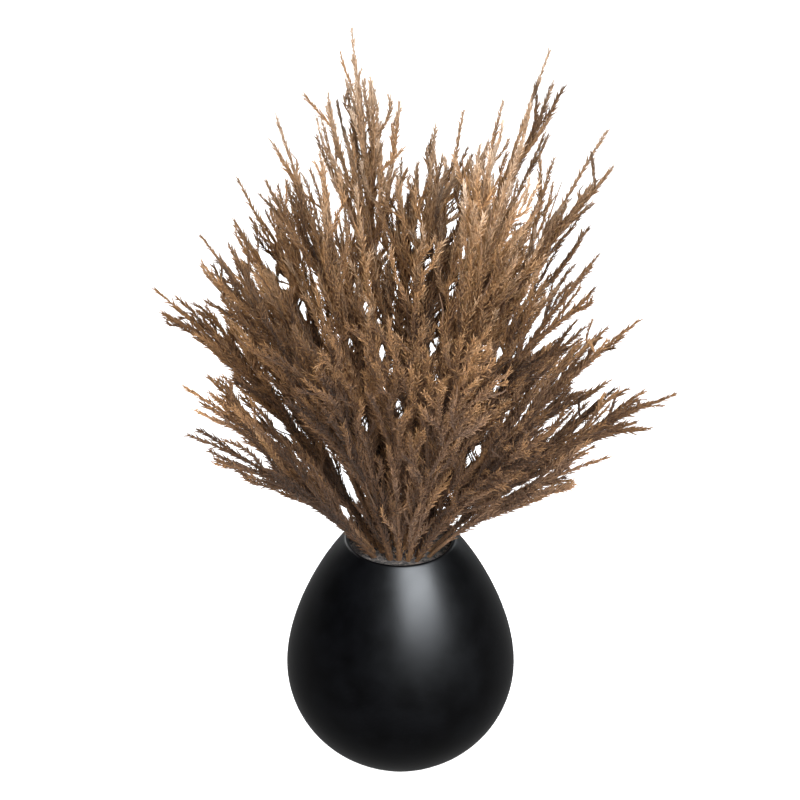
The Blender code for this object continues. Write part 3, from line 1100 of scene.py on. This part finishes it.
def make_bunch(finish):
    """Every plume, each in the place of its solid."""
    tree = grass_tree()
    headings = random.Random(SOLIDS_SEED)
    leans = [lean_vector(math.radians(lean), math.radians(heading), length)
             for _, lean, heading, length in PLUMES]
    for number, ((name, _, _, length), lean) in enumerate(zip(PLUMES, leans)):
        others = [other for other in leans if other is not lean]
        seed, fullness = GROWTH[name]
        strands = plume_strands(lean, length, others, headings.uniform(0, math.tau), fullness,
                                random.Random(seed))
        strands = [[(parted(place), *rest) for place, *rest in line] for line in strands]
        start = polyline_mesh(name, strands, MARKS)
        plume = grown("grass_" + name, start, tree, {
            "Stem sides": STEM_SIDES, "Twig sides": TWIG_SIDES, "Spikelet gap": SPIKELET_GAP,
            "Spikelet length": SPIKELET_LONG, "Spikelet radius": SPIKELET_R,
            "Tilt": SPIKELET_TILT, "Turn": GOLDEN_ANGLE, "Seed": SEED_STEP * number,
            "Finish": finish})
        for mark in (*MARKS, "point_end"):
            if mark in plume.data.attributes:
                plume.data.attributes.remove(plume.data.attributes[mark])
        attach(plume, "root")
        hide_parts("plume_" + name)


# Studio

def look_at(thing, place, aim):
    """Puts a camera or light at a place, turned to a point."""
    thing.location = place
    thing.rotation_euler = (Vector(aim) - Vector(place)).to_track_quat("-Z", "Y").to_euler()


def from_aim(aim, azimuth, elevation, distance):
    """A place around a point. Azimuth 0 is the viewer's side, and it grows to the right."""
    side, up = math.radians(azimuth), math.radians(elevation)
    away = Vector((math.sin(side) * math.cos(up), -math.cos(side) * math.cos(up), math.sin(up)))
    return Vector(aim) + distance * away


def softbox(name, aim, azimuth, elevation, distance, width, height, power, colour):
    """A rectangular soft light that faces a point."""
    data = bpy.data.lights.new(name, "AREA")
    data.shape = "RECTANGLE"
    data.size, data.size_y = width, height
    data.energy = power
    data.color = colour
    light = bpy.data.objects.new(name, data)
    bpy.context.scene.collection.objects.link(light)
    look_at(light, from_aim(aim, azimuth, elevation, distance), aim)
    return light


def make_camera():
    """The camera at the viewer's place."""
    data = bpy.data.cameras.new("Camera")
    data.sensor_width = SENSOR
    data.lens = LENS
    data.clip_end = SIGHT_END
    camera = bpy.data.objects.new("Camera", data)
    bpy.context.scene.collection.objects.link(camera)
    look_at(camera, from_aim(VIEW_AIM, 0, math.degrees(VIEW_RISE), VIEW_DISTANCE), VIEW_AIM)
    bpy.context.scene.camera = camera


def make_floor():
    """A wide flat floor."""
    floor = bpy.data.objects.new("floor", bpy.data.meshes.new("floor"))
    corners = [(-FLOOR_SIZE, -FLOOR_SIZE, 0), (FLOOR_SIZE, -FLOOR_SIZE, 0),
               (FLOOR_SIZE, FLOOR_SIZE, 0), (-FLOOR_SIZE, FLOOR_SIZE, 0)]
    floor.data.from_pydata(corners, [], [(0, 1, 2, 3)])
    floor.data.materials.append(floor_material())
    bpy.context.scene.collection.objects.link(floor)


def make_surround():
    """A surround that the camera sees white, and that gives little light."""
    world = bpy.data.worlds.new("Studio")
    world.use_nodes = True
    bpy.context.scene.world = world
    tree = world.node_tree
    surround = tree.nodes["Background"]
    rays = add_node(tree, "ShaderNodeLightPath")
    strength = add_node(tree, "ShaderNodeMapRange", inputs={
        "Value": rays.outputs["Is Camera Ray"], "To Min": SURROUND_LIGHT, "To Max": SURROUND_SEEN})
    surround.inputs["Color"].default_value = (0.97, 0.98, 1.0, 1.0)
    tree.links.new(strength.outputs["Result"], surround.inputs["Strength"])


def make_studio():
    """Camera, floor, surround and soft lights, with plain tones."""
    make_camera()
    make_floor()
    make_surround()
    for *how, left_out in LIGHTS:
        light = softbox(*how)
        light.visible_glossy = left_out != "glossy"
        light.visible_diffuse = left_out != "diffuse"
    bpy.context.scene.view_settings.view_transform = "Standard"
    bpy.context.scene.view_settings.look = "None"


def main():
    """Makes the studio, the pot, its filler and the bunch."""
    make_studio()
    turning = turning_tree()
    pot = make_pot(glaze_material(), turning)
    filler = make_filler(grit_material(), turning)
    for piece, node, slot in [(pot, "pot", "pot_glaze"), (filler, "filler", "filler_grit")]:
        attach(piece, "root")
        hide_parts(node)
    make_bunch(grass_material())


main()
